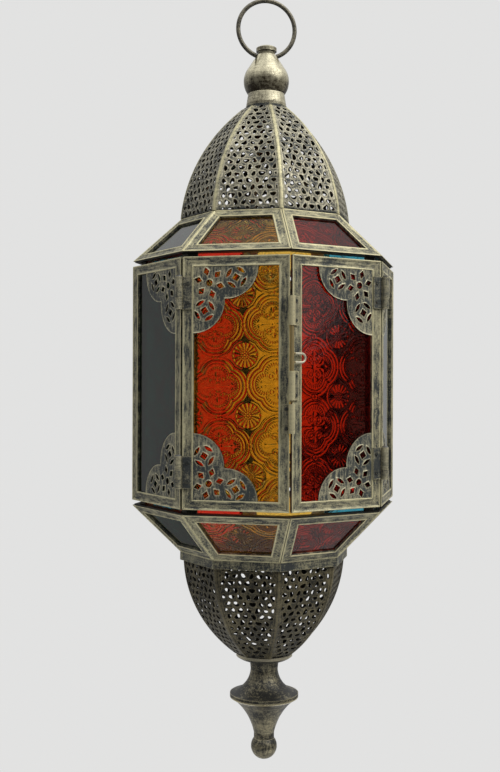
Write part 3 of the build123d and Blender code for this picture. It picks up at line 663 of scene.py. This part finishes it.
def channel_frame(name, face, at, stile, rail, gaps, rubbing, body, node):
    """The channel profile carried round a panel: outlines inset by share, closed both ways.

    Each corner is three points, so that the middle one can sink into the mitre's seam."""
    share, height, wear = channel.T
    (foot_a, foot_z), (head_a, head_z) = face
    lean = (foot_a - head_a) / (head_z - foot_z)
    slide = -height * lean * (1 - share)
    mitre = -height * np.tan(half) * (1 - share) * np.cos(np.arctan(lean))
    grow = np.hypot(1, side_slope(face))
    low = -panel_length(face) / 2 + rail * share + slide
    high = panel_length(face) / 2 - rail * share + slide
    inset = stile * share * grow + mitre
    left, right = (inset + gap * (1 - share) for gap in gaps)
    u = np.stack([-half_width(face, low) + left, half_width(face, low) - right,
                  half_width(face, high) - right, -half_width(face, high) + left], 1)
    corners = np.stack([u, np.stack([low, low, high, high], 1)], -1)
    ahead = np.roll(corners, -1, 1) - corners
    ahead *= seam_w / np.linalg.norm(ahead, axis=-1, keepdims=True)
    beside = np.stack([corners - np.roll(ahead, 1, 1), corners, corners + ahead], 2)
    u, v = np.moveaxis(beside.reshape(len(channel), 12, 2), -1, 0)
    seam = np.tile([0.0, 1.0, 0.0], 4) * (height > -frame_t)[:, None]
    points = on_panel(face, at, u, v, height[:, None] - seam_d * seam)
    quads = grid_quads(len(channel), 12, wrap_rows=True, wrap_columns=True)
    run = np.tile([1, 0, -1, -1, 0, 1], 2)
    return put_quads(name, points, quads, antique_brass, body, "antique_brass", node,
                     worn=rubbing * wear[:, None] * (1 - seam_dark * seam),
                     run=np.tile(run, len(channel)))


for name, at in side_at.items():
    gaps = side_gaps.get(name, (fixed_gap, fixed_gap))
    channel_frame(f"{name}_channel", side_face, at, stile_w, rail_w, gaps, side_rubbing,
                  body_of(name), node_of(name, "frame"))
    for tier, (face, rubbing) in tiers.items():
        channel_frame(f"{tier}_channel_{name}", face, at, slope_strip_w, slope_strip_w,
                      (fixed_gap, fixed_gap), rubbing, "lantern", f"{tier}_frames")
print("channel frames:", 3 * len(side_at))

# %% [markdown]
# The roof and the base stand a little clear of the body. Behind each gap, a flat strip is
# soldered to the frames and the posts all the way round, painted black as the shade behind the
# gap, and it shows as a dark line over the coloured light in the gap. A strip is a four-sided
# profile carried round the octagon.

# %% Seat strips
seat_set_in = 1.5
seat_w = 7.5
seat_t = 0.7


def seat_strip(name, low):
    """Profile of four points, as distance from the axis and level, at each of eight corners."""
    away = (eave_a - seat_set_in - seat_w * np.array([0, 1, 1, 0])) / np.cos(half)
    level = low + seat_t * np.array([0, 0, 1, 1])
    c, s = cos_sin(corners_at[:, None])
    points = np.stack(np.broadcast_arrays(away * c, away * s, level), -1)
    quads = grid_quads(8, 4, wrap_rows=True, wrap_columns=True)
    # The strip's black is painted shade.
    return put_quads(name, points, quads, painted_shade_inside, "lantern", "antique_brass")


seat_strip("roof_seat_strip", z_eave - seat_t)
seat_strip("base_seat_strip", z_base_top)
print("seat strips: 2")

# %% [markdown]
# The panes carry a traditional repeat: four-lobed medallions that touch their neighbours, with a
# daisy in each space between four of them. A repeat can be folded into one cell, where the
# distance from the nearest lobe's centre gives every line of the medallion at once: two raised
# outlines with a groove between them, a hairline, then a band of fine strokes. Fleurs and scrolls
# fill the middle, and a small ring marks each place where two medallions touch.

# %% Pressed pattern
repeat = 36.0
lobe_out = 6.1
# Distance from the lobe's centre, width and height of each line
lobe_lines = ((12.1, 0.45, -0.6), (11.0, 0.55, 1.0), (9.9, 0.50, -1.0), (8.8, 0.55, 1.0),
              (7.9, 0.40, -0.7), (7.1, 0.40, 0.6))
stroke_at, stroke_w, stroke_h, strokes_round, strokes_from = 5.5, 0.9, 0.7, 26, 4.0
fleur_from, fleur_to, fleur_soft, fleur_w = 1.6, 9.6, 0.8, 0.5
swell_at, swell_w, swell_h = 7.6, 1.2, 0.5
curl_x, curl_y, curl_r, curl_w, curl_eye = 2.6, 4.6, 1.9, 0.42, 0.6
boss_w = 1.1
touch_r, touch_w = 1.3, 0.45
petals_round, petal_from, petal_to, petal_soft = 16, 2.4, 7.5, 0.7
groove_at, groove_w, groove_d = 7.9, 0.5, 0.7
seeds_round, seed_at, seed_w, seed_eye = 8, 1.6, 0.45, 0.5


def ridge(distance, width):
    """A smooth ridge, 1 on a line and 0 well beyond its width."""
    return np.exp(-(distance / width) ** 2)


def outlined(distance, width):
    """A ridge with a shallow groove along each side."""
    return 1.6 * ridge(distance, width) - 0.8 * ridge(distance, 2.2 * width)


def between(value, low, high, soft):
    """1 between two limits, falling to 0 over a soft edge inside them."""
    return np.clip((value - low) / soft, 0, 1) * np.clip((high - value) / soft, 0, 1)


def medallion(x, y):
    """Height of one medallion: ridges at set distances from the nearest lobe's centre."""
    far, near = np.maximum(abs(x), abs(y)), np.minimum(abs(x), abs(y))
    lobe = np.hypot(far - lobe_out, near)
    lines = sum(height * ridge(lobe - at, width) for at, width, height in lobe_lines)
    round_lobe = np.arctan2(near, far - lobe_out)
    strokes = ridge(lobe - stroke_at, stroke_w) * np.cos(strokes_round * round_lobe)
    strokes = stroke_h * (strokes * (far > strokes_from))
    fleur_swell = fleur_w + swell_h * ridge(far - swell_at, swell_w)
    fleurs = outlined(near, fleur_swell) * between(far, fleur_from, fleur_to, fleur_soft)
    curl = np.hypot(abs(x) - curl_x, abs(y) - curl_y)
    scrolls = outlined(curl - curl_r, curl_w) + ridge(curl, curl_eye)
    boss = ridge(np.hypot(x, y), boss_w)
    touch = outlined(np.hypot(far - repeat / 2, near) - touch_r, touch_w)
    return lines + strokes + fleurs + scrolls + boss + touch


def daisy(x, y):
    """Height of one daisy: sixteen petals between two radii, round a ring of seeds."""
    out, angle = np.hypot(x, y), np.arctan2(y, x)
    petals = 0.1 + 0.9 * np.cos(petals_round * angle)
    petals = petals * between(out, petal_from, petal_to, petal_soft)
    groove = groove_d * ridge(out - groove_at, groove_w)
    seeds = ridge(out - seed_at, seed_w) * (0.5 + 0.5 * np.cos(seeds_round * angle))
    return petals - groove + seeds + ridge(out, seed_eye)


def pressed_relief(u, v):
    """Height from -1 to 1: places are folded into one repeat, with a daisy at its corners."""
    x, y = ((place / repeat - np.floor(place / repeat) - 0.5) * repeat for place in (u, v))
    corner_x, corner_y = np.sign(x) * repeat / 2, np.sign(y) * repeat / 2
    return np.clip(medallion(x, y) + daisy(x - corner_x, y - corner_y), -1, 1)


one_repeat = np.arange(0, repeat, 0.5)
one_relief = pressed_relief(*np.meshgrid(one_repeat, one_repeat))
print("mean height of one repeat:", round(one_relief.mean(), 3))

# %% [markdown]
# A pane is that height over a grid on its inner face, with a flat outer face and closed edges.
# The grid fits the window. On the doors, which are seen best, it is finer, and the pattern starts
# at a daisy's measured place.

# %% Panes
door_step = 0.30
pane_step = 0.52
pane_hold = 1.6
relief_h = 0.28
# Painted light of the flat ground, what height adds as painted highlight, what a slope takes away
# as painted shade, and on the plain edge
ground_painted_light, painted_highlight_by_height, painted_shade_by_slope = 0.68, 0.42, 0.12
outer_face_painted_light = 0.8
# A daisy's place on the pane, and how far the pattern is turned in degrees
pattern_from = {"left_door": (5.2, 16.8, 3.3), "right_door": (2.8, -7.6, 1.0)}
pattern_turn = 2.0
# How far the pattern moves from one side to the next on the other panes
side_shift = (5.0, 7.0)
slope_shift = (4.0, 9.0)


def spun(p, q, centre, degrees):
    """Coordinates about a centre, turned by an angle."""
    c, s = cos_sin(degrees)
    dp, dq = p - centre[0], q - centre[1]
    return c * dp + s * dq, c * dq - s * dp


def painted_relief_light(raised, step):
    """Painted shade of the relief: 1 on flat tops, less in flat ground, least in grooves and
    slopes.
    """
    slope_v, slope_u = np.gradient(raised, step)
    steep = painted_shade_by_slope * np.hypot(slope_u, slope_v)
    return np.clip(ground_painted_light + painted_highlight_by_height * raised - steep, 0, 1)


def pane(name, face, at, stile, rail, start, step, colour, body, node):
    """Relief over a grid that fits the window, on the inner face; a flat outer face."""
    length = panel_length(face) / 2 - rail + pane_hold
    width = half_width(face, 0) - stile + pane_hold
    rows, columns = int(2 * length / step), int(2 * width / step)
    v = np.linspace(-length, length, rows)[:, None]
    edge = half_width(face, v) - stile * np.hypot(1, side_slope(face)) + pane_hold
    u = edge * np.linspace(-1, 1, columns)[None, :]
    raised = pressed_relief(*spun(u, v, start[:2], start[2]))
    front_w = -(lip_t + glass_gap)
    back = on_panel(face, at, u, v, front_w - glass_t + relief_h * (1 - raised))
    front = on_panel(face, at, u, v, front_w)
    index = np.arange(rows * columns).reshape(rows, columns)
    loop = np.concatenate([index[0, :-1], index[:-1, -1], index[-1, :0:-1], index[:0:-1, 0]])
    points = np.vstack([back.reshape(-1, 3), front.reshape(-1, 3)[loop]])
    outer = rows * columns + np.arange(len(loop))
    walls = np.stack([loop, np.roll(loop, -1), np.roll(outer, -1), outer], 1)
    quads = np.vstack([grid_quads(rows, columns)[:, ::-1], walls])
    loops = np.concatenate([quads.ravel(), outer])
    sizes = np.append(np.full(len(quads), 4), len(outer))
    # Painted light and shade of the relief, carried by each point.
    clear = np.concatenate([painted_relief_light(raised, step).ravel(), np.full(len(outer), outer_face_painted_light)])
    smooth = np.arange(len(sizes)) < (rows - 1) * (columns - 1)
    return put(name, points, loops, sizes, glass[colour], body, f"glass_{colour}", node,
               smooth=smooth, clear=clear)


for k, (name, at) in enumerate(side_at.items()):
    colour = side_colour[name]
    start = pattern_from.get(name, (side_shift[0] * k, side_shift[1] * k, pattern_turn))
    step = door_step if name in doors else pane_step
    pane(f"{name}_pressed_pane", side_face, at, stile_w, rail_w, start, step, colour,
         body_of(name), node_of(name, "pane"))
    start = (slope_shift[0] * k, slope_shift[1] * k, pattern_turn)
    for tier, (face, _) in tiers.items():
        pane(f"{tier}_pressed_pane_{name}", face, at, slope_strip_w, slope_strip_w, start,
             pane_step, colour, "lantern", f"{tier}_panes_{colour}")
print("panes:", 3 * len(side_at))

# %% [markdown]
# The frets and the dome gores are sheet with holes. A sheet like this is the set of places where a
# field is above zero: the field is the distance to the nearest edge, of the sheet or of a hole.
# Marching squares cuts each cell of a grid where the field crosses zero, and the same distance
# tells how near a rim is, so that rims can be raised and rubbed bright.

# %% Helper: cut a sheet out of a grid


def cut_sheet(field):
    """Marching squares: corner and crossing points as grid coordinates, and polygons."""
    rows, columns = field.shape
    inside = field > 0
    corner = np.arange(rows * columns).reshape(rows, columns)
    along = corner[:, :-1] + rows * columns
    upward = corner[:-1, :] + 2 * rows * columns
    r, c = np.mgrid[0:rows, 0:columns].astype(float)
    places = np.zeros((3 * rows * columns, 2))
    places[corner] = np.stack([r, c], -1)
    drop = np.where(inside[:, :-1] != inside[:, 1:], field[:, :-1] - field[:, 1:], 1)
    places[along] = np.stack([r[:, :-1], c[:, :-1] + field[:, :-1] / drop], -1)
    drop = np.where(inside[:-1] != inside[1:], field[:-1] - field[1:], 1)
    places[upward] = np.stack([r[:-1] + field[:-1] / drop, c[:-1]], -1)
    corners = cell_corners(corner)
    edges = [along[:-1], upward[:, 1:], along[1:], upward[:, :-1]]
    case = sum(bit.astype(int) << k for k, bit in enumerate(cell_corners(inside)))
    loops, sizes = [], []
    for kind in range(1, 16):
        chosen = case == kind
        sequence = []
        for k in range(4):
            here, following = kind >> k & 1, kind >> (k + 1) % 4 & 1
            sequence += [corners[k][chosen]] if here else []
            sequence += [edges[k][chosen]] if here != following else []
        loops.append(np.stack(sequence, 1).ravel())
        sizes.append(np.full(int(chosen.sum()), len(sequence)))
    used, loops = np.unique(np.concatenate(loops), return_inverse=True)
    return places[used], loops.ravel(), np.concatenate(sizes)


def on_grid(values, places):
    """Values of a grid at fractional places, by straight interpolation."""
    r0 = np.clip(places[:, 0].astype(int), 0, values.shape[0] - 2)
    c0 = np.clip(places[:, 1].astype(int), 0, values.shape[1] - 2)
    fr, fc = places[:, 0] - r0, places[:, 1] - c0
    return ((values[r0, c0] * (1 - fc) + values[r0, c0 + 1] * fc) * (1 - fr)
            + (values[r0 + 1, c0] * (1 - fc) + values[r0 + 1, c0 + 1] * fc) * fr)


def thicken(piece, gauge, new_finish, rim):
    """Give a sheet its gauge behind its drawn faces. The new faces get a finish of their own, and
    the rims take the drawn faces' finish (0) or the new one (1)."""
    wall = piece.modifiers.new("gauge", "SOLIDIFY")
    wall.thickness = gauge * MM
    wall.offset = -1.0
    piece.data.materials.append(new_finish)
    wall.material_offset = 1
    wall.material_offset_rim = rim
    return piece


print("sheet cutter ready")

# %% [markdown]
# Each body panel has two pierced corner frets: two half-round lobes beside the corner, an eye
# with six petals on the diagonal, and in each lobe a turned square with four leaf-shaped slits.
# All of these have simple distances, and the nearest one is the field.

# %% Corner frets
fret_t = 0.6
fret_front = 0.4
fret_step = 0.45
fret_margin = 0.3
lobe_at = 20.5
fret_lobe_r = 19.2
notch = (lobe_at + np.sqrt(2 * fret_lobe_r**2 - lobe_at**2)) / 2
fret_span = lobe_at + fret_lobe_r
eye_at, eye_r = 9.8, 2.1
petal_out, petal_l, petal_w, first_petal = 7.0, 5.4, 4.0, 15
square_at, square_lean, square_half = (26.3, 6.8), 32, 1.9
slit_out, slit_l, slit_w = 5.2, 6.6, 2.3
rim_w = 0.75
rim_lift = 0.25
fret_run = 0.8


def diamond(p, q, length, width):
    """Distance to a diamond's sides, below zero inside."""
    return (abs(p) * width + abs(q) * length - length * width / 2) / np.hypot(length, width)


def leaf(p, q, length, width):
    """Distance to a leaf shape, the overlap of two circles, below zero inside."""
    drop = (length**2 / 4 - width**2 / 4) / width
    return np.hypot(p, abs(q) + drop) - drop - width / 2


def fret_field(p, q):
    """Distance to the nearest edge at p in from the window's side and q in from its end."""
    lobes = np.minimum(np.hypot(p - lobe_at, q), np.hypot(p, q - lobe_at)) - fret_lobe_r
    sheet = -np.minimum(lobes, np.maximum(p, q) - notch)
    holes = np.hypot(p - eye_at, q - eye_at) - eye_r
    for degrees in first_petal + 60 * np.arange(6):
        c, s = cos_sin(degrees)
        centre = eye_at + petal_out * c, eye_at + petal_out * s
        holes = np.minimum(holes, diamond(*spun(p, q, centre, degrees), petal_l, petal_w))
    for centre, lean in ((square_at, square_lean), (square_at[::-1], 90 - square_lean)):
        a, b = spun(p, q, centre, lean)
        holes = np.minimum(holes, np.maximum(abs(a), abs(b)) - square_half)
        for k in range(4):
            c, d = spun(a, b, (0, 0), 90 * k)
            holes = np.minimum(holes, leaf(c, d - slit_out, slit_l, slit_w))
    return np.minimum(sheet, holes)


def fret(name, at, side, end, body, node):
    """One fret in the corner of a window, on one side (-1 or 1) and at one end (-1 or 1).

    It is drawn facing outwards, so a mirrored one has its polygons turned round."""
    steps = np.arange(-fret_margin, fret_span + 1, fret_step)
    field = fret_field(steps[None, :], steps[:, None])
    places, loops, sizes = cut_sheet(field)
    q, p = (places * fret_step - fret_margin).T
    near = np.clip(1 - on_grid(field, places) / rim_w, 0, 1)
    window_u = half_width(side_face, 0) - stile_w
    window_v = panel_length(side_face) / 2 - rail_w
    points = on_panel(side_face, at, side * (window_u - p), end * (window_v - q),
                      rim_lift * near - fret_front)
    if side * end < 0:
        loops, sizes = loops[::-1], sizes[::-1]
    piece = put(name, points, loops, sizes, pierced_sheet, body, "pierced_sheet", node,
                worn=0.05 + 0.9 * near**1.5, run=np.full(len(points), fret_run))
    return thicken(piece, fret_t, painted_shade_inside, 1)


# Frets stand on both sides of every other corner, the doors' hinge corners among them
for k, (name, at) in enumerate(side_at.items()):
    node = f"{name}_frets" if name in doors else "side_frets"
    for end, word in ((1, "upper"), (-1, "lower")):
        fret(f"{name}_{word}_fret", at, (-1, 1)[k % 2], end, body_of(name), node)
print("frets:", 2 * len(side_at))

# %% [markdown]
# The domes are eight gores of pierced sheet between eight ribs. The piercing is a close filigree
# of bean-shaped holes that lean three ways, so that they ring each other like petals. A
# honeycomb of centres gives the spacing. Each hole is a bent oval, turned by its place in the
# honeycomb, and the gore's straight edges at the ribs are part of the same field.

# %% Dome gores
gore_t = 0.8
gore_step = 0.5
gore_border = 1.0
gore_end_border = 0.59
gore_rim_w = 1.1
gore_under_rib = 0.4
hole_pitch = 5.3
bean_half_l, bean_half_w = 1.95, 1.15
bean_bend, bean_set_back = 0.16, 0.2
bean_sway, bean_vary = 0.5, 0.14
bean_slope = 1.3
rib_w = 3.2
rib_proud = 0.9
rib_under = 1.2
# Corner radius at the ends of the domes' arcs, and radius of the arcs
dome_foot_r, dome_head_r, dome_arc_r = 55.9, 14.6, 109.0
tip_r, lower_arc_r = 18.0, 84.0


def bean_field(a, b):
    """Distance to the nearest bean-shaped hole of a honeycomb, in millimetres.

    Sines of a hole's row and place vary its lean and its size a little."""
    best = np.full(np.broadcast(a, b).shape, np.inf)
    row_h = hole_pitch * np.sqrt(3)
    for start_a, start_b in ((0.0, 0.0), (row_h / 2, hole_pitch / 2)):
        i = np.round((a - start_a) / row_h)
        j = np.round((b - start_b) / hole_pitch)
        p, q = a - start_a - i * row_h, b - start_b - j * hole_pitch
        lean = np.radians(60) * ((j + 2 * (start_a > 0) + i) % 3)
        lean = lean + bean_sway * np.sin(3.1 * i + 5.7 * j + start_a)
        c, s = np.cos(lean), np.sin(lean)
        x, y = c * p + s * q, c * q - s * p
        size = 1 + bean_vary * np.sin(7.3 * i + 2.9 * j + start_b)
        y = y + bean_bend * x**2 - bean_set_back
        oval = np.hypot(x / (bean_half_l * size), y / (bean_half_w * size)) - 1
        best = np.minimum(best, oval * bean_slope)
    return best


def gore_arc(low, high, radius):
    """Centre of the gore's arc and its two end angles, from its ends and its radius."""
    low, high = np.array(low), np.array(high)
    chord = high - low
    length = np.hypot(*chord)
    away = np.sqrt(radius**2 - length**2 / 4)
    centre = (low + high) / 2 + away * np.array([-chord[1], chord[0]]) / length
    start, stop = np.arctan2(*(low - centre)[::-1]), np.arctan2(*(high - centre)[::-1])
    return centre, start, stop


def gore(name, low, high, radius, at, shift, wear, painted_shadow_l, finish, node):
    """One pierced gore: an arc swept straight across and cut where its field is below zero.

    It is drawn facing inwards, and its gauge, with the outer finish, is added outside."""
    centre, start, stop = gore_arc(low, high, radius)
    angles = np.linspace(start, stop, int((stop - start) * radius / gore_step))
    half_w = (centre[0] + radius * np.cos(angles)) * np.tan(half)
    a = radius * (angles - start)
    b = np.arange(-half_w.max(), half_w.max() + gore_step, gore_step)
    trim = (half_w[:, None] - rib_w / 2 + gore_under_rib - abs(b)[None, :]) * np.cos(half)
    border = np.minimum(trim, np.minimum(a, a[-1] - a)[:, None] + gore_end_border)
    holes = bean_field(a[:, None] + shift, b[None, :] + shift)
    field = np.minimum(trim, np.maximum(holes, gore_border - border))
    places, loops, sizes = cut_sheet(field)
    row, column = places.T
    angle = np.interp(row, np.arange(len(angles)), angles)
    near = np.clip(1 - on_grid(field, places) / gore_rim_w, 0, 1)
    lift = radius - rim_lift + rim_lift * near
    points = np.stack([centre[0] + lift * np.cos(angle), b[0] + column * gore_step,
                       centre[1] + lift * np.sin(angle)], 1)
    # Painted shadow: the gore goes dark towards both ends, where the domes meet the roof, the band,
    # the collar and the top finial.
    seam = np.clip(np.minimum(row, len(angles) - 1 - row) * gore_step / painted_shadow_l, 0, 1)
    piece = put(name, turned(points, at), loops[::-1], sizes[::-1], painted_shade_inside, "lantern",
                "pierced_sheet", node, smooth=True,
                worn=wear * (0.2 + 0.8 * near) * seam - 0.4 * (1 - seam))
    return thicken(piece, gore_t, finish, 0)


lower_foot_r = reach("lower_dome_ribs") - rib_proud
upper_arc = ((dome_foot_r * np.cos(half), z_roof_top), (dome_head_r * np.cos(half), z_dome_top),
             dome_arc_r)
lower_arc = ((tip_r * np.cos(half), z_tip), (lower_foot_r * np.cos(half), z_base_foot),
             lower_arc_r)
# Arc, shift of the holes from gore to gore, wear (less below, as painted shade), length of the dark
# ends (painted shadow), and finish (darker below, as painted shade)
domes = {"upper": (upper_arc, 1.7, 0.75, 1.8, dome_sheet),
         "lower": (lower_arc, 2.3, 0.42, 5.0, painted_shade_sheet)}
for k, at in enumerate(side_at.values()):
    for dome, (arc, shift, wear, painted_shadow_l, finish) in domes.items():
        gore(f"{dome}_gore_{k + 1}", *arc, at, shift * k, wear, painted_shadow_l, finish,
             f"{dome}_dome_gores")
print("gores:", 2 * len(side_at))

# %% [markdown]
# A rib is a half-round strip that covers the joint between two gores. Its path is the curve that
# the gores' corners follow, so it is the gore's arc, stretched outwards to the octagon's corner.

# %% Dome ribs
rib_rows = 72
rib_round = 9


def ribs(name, low, high, radius, rubbing, finish, node):
    """A half-oval profile carried along the corner curve, with its ends capped, eight times."""
    centre, start, stop = gore_arc(low, high, radius)
    angles = np.linspace(start, stop, rib_rows)
    path_r = (centre[0] + radius * np.cos(angles)) / np.cos(half)
    path_z = centre[1] + radius * np.sin(angles)
    slope = np.arctan2(np.gradient(path_z), np.gradient(path_r)) - np.pi / 2
    phi = np.linspace(0, np.pi, rib_round)
    across = np.concatenate([rib_w / 2 * np.cos(phi), [-rib_w / 2, rib_w / 2]])
    proud = np.concatenate([rib_proud * np.sin(phi), [-rib_under, -rib_under]])
    wear = np.concatenate([rubbing * np.sin(phi) ** 2 - 0.1, [0.0, 0.0]])
    out = path_r[:, None] + proud * np.cos(slope)[:, None]
    up = np.clip(path_z[:, None] + proud * np.sin(slope)[:, None], low[1], high[1])
    one = np.stack(np.broadcast_arrays(out, across, up), -1).reshape(-1, 3)
    points = np.concatenate([turned(one, at) for at in corners_at])
    columns = len(across)
    quads = grid_quads(rib_rows, columns, wrap_columns=True)
    first = len(one) * np.arange(8)[:, None]
    caps = np.append(np.arange(columns)[::-1], len(one) - columns + np.arange(columns))
    loops = np.append(quads.ravel() + first, caps + first)
    sizes = np.append(np.full(8 * len(quads), 4), np.full(16, columns))
    return put(name, points, loops, sizes, finish, "lantern", "antique_brass", node,
               worn=np.tile(wear, 8 * rib_rows))


ribs("upper_ribs", *upper_arc, 0.9, antique_brass, "upper_dome_ribs")
# The lower ribs are rubbed less and take the darker finish: painted shade under the lantern.
ribs("lower_ribs", *lower_arc, 0.55, painted_shade_sheet, "lower_dome_ribs")
print("ribs: 16")

# %% [markdown]
# The solids that already have their real shape keep it, and only take a finish: their own where
# they have one, or else the one for their slot in the record.

# %% Finishes on the plain solids
slot_of = {row["node"]: row["material_slot"] for row in frame["record"]["subparts"]}
# The corner posts take the darker sheet finish: painted shade inside the lantern.
own_finish = {"top_finial": turned_brass, "bottom_finial": drop_brass,
              "lower_collar": collar_brass, "bolt_guides": barrel_brass,
              "bolt_keeper": barrel_brass, "bolt_rod": rod_brass, "corner_posts": painted_shade_sheet}
own_finish |= {name: hinge_brass for name in nodes if name.endswith("_leaves")}
own_finish |= {name: rivet_brass for name in nodes if name.endswith("_rivets")}
for name, node in nodes.items():
    slot = slot_of[name]
    finish = own_finish.get(name) or metal_finish.get(slot) or glass[slot.split("_")[1]]
    for place in node.material_slots:
        place.material = finish
print("solids with a finish:", len(nodes))
